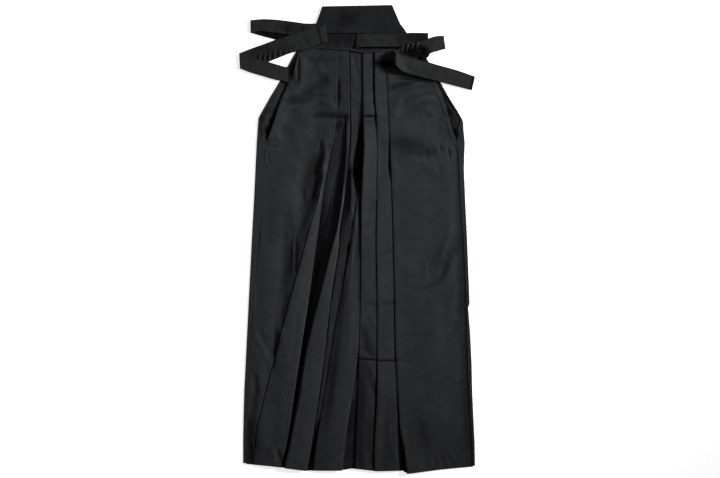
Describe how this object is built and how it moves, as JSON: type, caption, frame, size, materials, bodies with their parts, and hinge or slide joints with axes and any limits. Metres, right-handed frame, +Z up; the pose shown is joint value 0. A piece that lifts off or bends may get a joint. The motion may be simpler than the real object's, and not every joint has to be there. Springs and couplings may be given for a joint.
{
  "type": "hakama trousers",
  "caption": "Pleated divided hakama trousers laid flat with the front up: pleated leg panels, side slits, a stiff back waist board and loosely folded waist ties.",
  "frame": {"origin": "middle of the bounding box at the surface that the garment lies on", "axes": "+Z up, +Y from hem to waist board, +X across to the side with the open strap loop"},
  "size_m": [0.5305, 1.0535, 0.0234],
  "materials": {
    "cloth_twill": "black twill weave with a soft satin sheen, pressed pleats",
    "tie_twill": "black twill bands sewn flat with several rows of topstitching",
    "board_twill": "black cloth drawn over a stiff board, matt and slightly uneven"
  },
  "bodies": {
    "root": {"front_left": "cloth_twill", "front_right": "cloth_twill", "back_left": "cloth_twill", "back_right": "cloth_twill", "gusset_left": "cloth_twill", "gusset_right": "cloth_twill", "waist_binding": "cloth_twill", "koshi_ita": "board_twill", "back_strap_left": "tie_twill", "back_strap_right": "tie_twill", "front_strap_left": "tie_twill", "front_strap_right": "tie_twill"}
  },
  "joints": []
}
